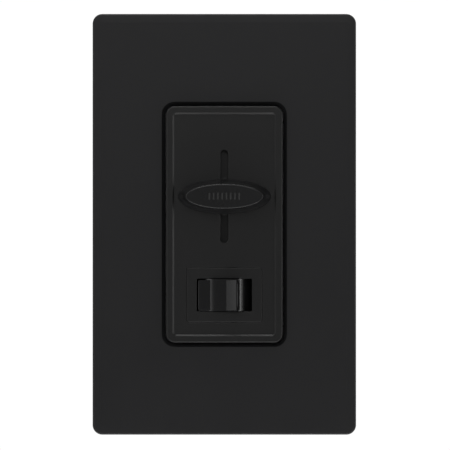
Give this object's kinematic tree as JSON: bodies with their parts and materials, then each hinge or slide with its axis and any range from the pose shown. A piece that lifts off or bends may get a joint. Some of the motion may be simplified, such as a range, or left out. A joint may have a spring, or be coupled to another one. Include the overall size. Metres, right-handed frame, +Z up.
{
  "type": "slide dimmer switch",
  "caption": "Wall dimmer: an oval slider in a straight slot sets the level and a small rocker below switches it, in a black screwless plate with strap, board and rear housing.",
  "frame": {"origin": "centre of the wallplate on the face of the wall, midway between the two box screws", "axes": "+X to the right seen from the front, +Y into the wall (the front faces -Y), +Z up"},
  "size_m": [0.0746, 0.0429, 0.1194],
  "materials": {
    "wallplate_cover": "satin, fine grain, rolled edges",
    "wallplate_adapter": "satin, as moulded",
    "adapter_screws": "zinc plated",
    "strap_film": "thin black insulating film",
    "mounting_strap": "rolled sheet with punched edges",
    "ground_screw": "green dyed plating",
    "box_mounting_screws": "zinc plated",
    "screw_retaining_washers": "vulcanised red fibre",
    "front_bezel": "satin gloss",
    "rocker_bezel": "satin gloss",
    "rocker": "satin gloss",
    "rocker_pivot_pins": "ground",
    "rocker_plunger": "natural acetal",
    "plunger_spring": "drawn wire",
    "contact_arm": "rolled copper alloy",
    "moving_contacts": "silver alloy, slightly tarnished",
    "fixed_contact_left": "stamped, silver faced",
    "fixed_contact_right": "stamped, silver faced",
    "fulcrum_terminal": "stamped",
    "switch_base": "black phenolic",
    "slider_knob": "satin gloss",
    "slider_carriage": "slippery acetal",
    "pot_can": "tin plated sheet",
    "pot_track_board": "phenolic paper board with printed tracks",
    "pot_pins": "tinned",
    "pot_lever": "natural acetal",
    "pot_wiper_contacts": "spring bronze",
    "triac_insulating_pad": "grey heat-conducting silicone",
    "triac_tab": "tinned copper",
    "triac_body": "moulded epoxy",
    "triac_leads": "tinned",
    "triac_screw": "zinc plated",
    "triac_nut": "zinc plated",
    "choke_core": "powder coated iron powder",
    "choke_winding": "enamelled copper wire",
    "filter_capacitor": "epoxy filled box",
    "timing_capacitors": "epoxy filled box",
    "resistors": "lacquered, colour banded",
    "diac": "glass bead with painted band",
    "circuit_board": "paper phenolic board with solder mask",
    "back_housing": "spark-eroded texture",
    "housing_screws": "zinc plated",
    "terminal_plates": "stamped",
    "terminal_screws": "cut thread, slotted heads",
    "rating_label": "blank matt film"
  },
  "bodies": {
    "switch_case": {"wallplate_cover": "wallplate_cover", "wallplate_adapter": "wallplate_adapter", "adapter_screws": "adapter_screws", "strap_film": "strap_film", "mounting_strap": "mounting_strap", "ground_screw": "ground_screw", "box_mounting_screws": "box_mounting_screws", "screw_retaining_washers": "screw_retaining_washers", "front_bezel": "front_bezel", "rocker_bezel": "rocker_bezel", "fixed_contact_left": "fixed_contact_left", "fixed_contact_right": "fixed_contact_right", "fulcrum_terminal": "fulcrum_terminal", "switch_base": "switch_base", "pot_can": "pot_can", "pot_track_board": "pot_track_board", "pot_pins": "pot_pins", "triac_insulating_pad": "triac_insulating_pad", "triac_tab": "triac_tab", "triac_body": "triac_body", "triac_leads": "triac_leads", "triac_screw": "triac_screw", "triac_nut": "triac_nut", "choke_core": "choke_core", "choke_winding": "choke_winding", "filter_capacitor": "filter_capacitor", "timing_capacitors": "timing_capacitors", "resistors": "resistors", "diac": "diac", "circuit_board": "circuit_board", "back_housing": "back_housing", "housing_screws": "housing_screws", "terminal_plates": "terminal_plates", "terminal_screws": "terminal_screws", "rating_label": "rating_label"},
    "slider": {"slider_knob": "slider_knob", "slider_carriage": "slider_carriage", "pot_lever": "pot_lever", "pot_wiper_contacts": "pot_wiper_contacts"},
    "rocker_button": {"rocker": "rocker", "rocker_pivot_pins": "rocker_pivot_pins", "plunger_spring": "plunger_spring"},
    "plunger": {"rocker_plunger": "rocker_plunger"},
    "contact_rocker": {"contact_arm": "contact_arm", "moving_contacts": "moving_contacts"}
  },
  "joints": [
    {"name": "slider_slide", "type": "slide", "parent": "switch_case", "child": "slider", "axis": [0, 0, 1], "range_m": [-0.0075, 0.0075]},
    {"name": "rocker_tilt", "type": "hinge", "parent": "switch_case", "child": "rocker_button", "pos_m": [0, -0.00085, -0.02], "axis": [0, 0, 1], "range_deg": [0, 24]},
    {"name": "contact_arm_rock", "type": "hinge", "parent": "switch_case", "child": "contact_rocker", "pos_m": [0, 0.00705, -0.02], "axis": [0, 0, 1], "range_deg": [-12, 0]},
    {"name": "plunger_slide", "type": "slide", "parent": "rocker_button", "child": "plunger", "axis": [-0.2079, -0.9781, 0], "range_m": [0, 0.0008], "stiffness_N_per_m": 300, "springref_m": -0.0015, "deforming": ["plunger_spring"]}
  ],
  "couplings": [
    {"joint": "contact_arm_rock", "follows": "rocker_tilt", "ratio": -0.5}
  ]
}
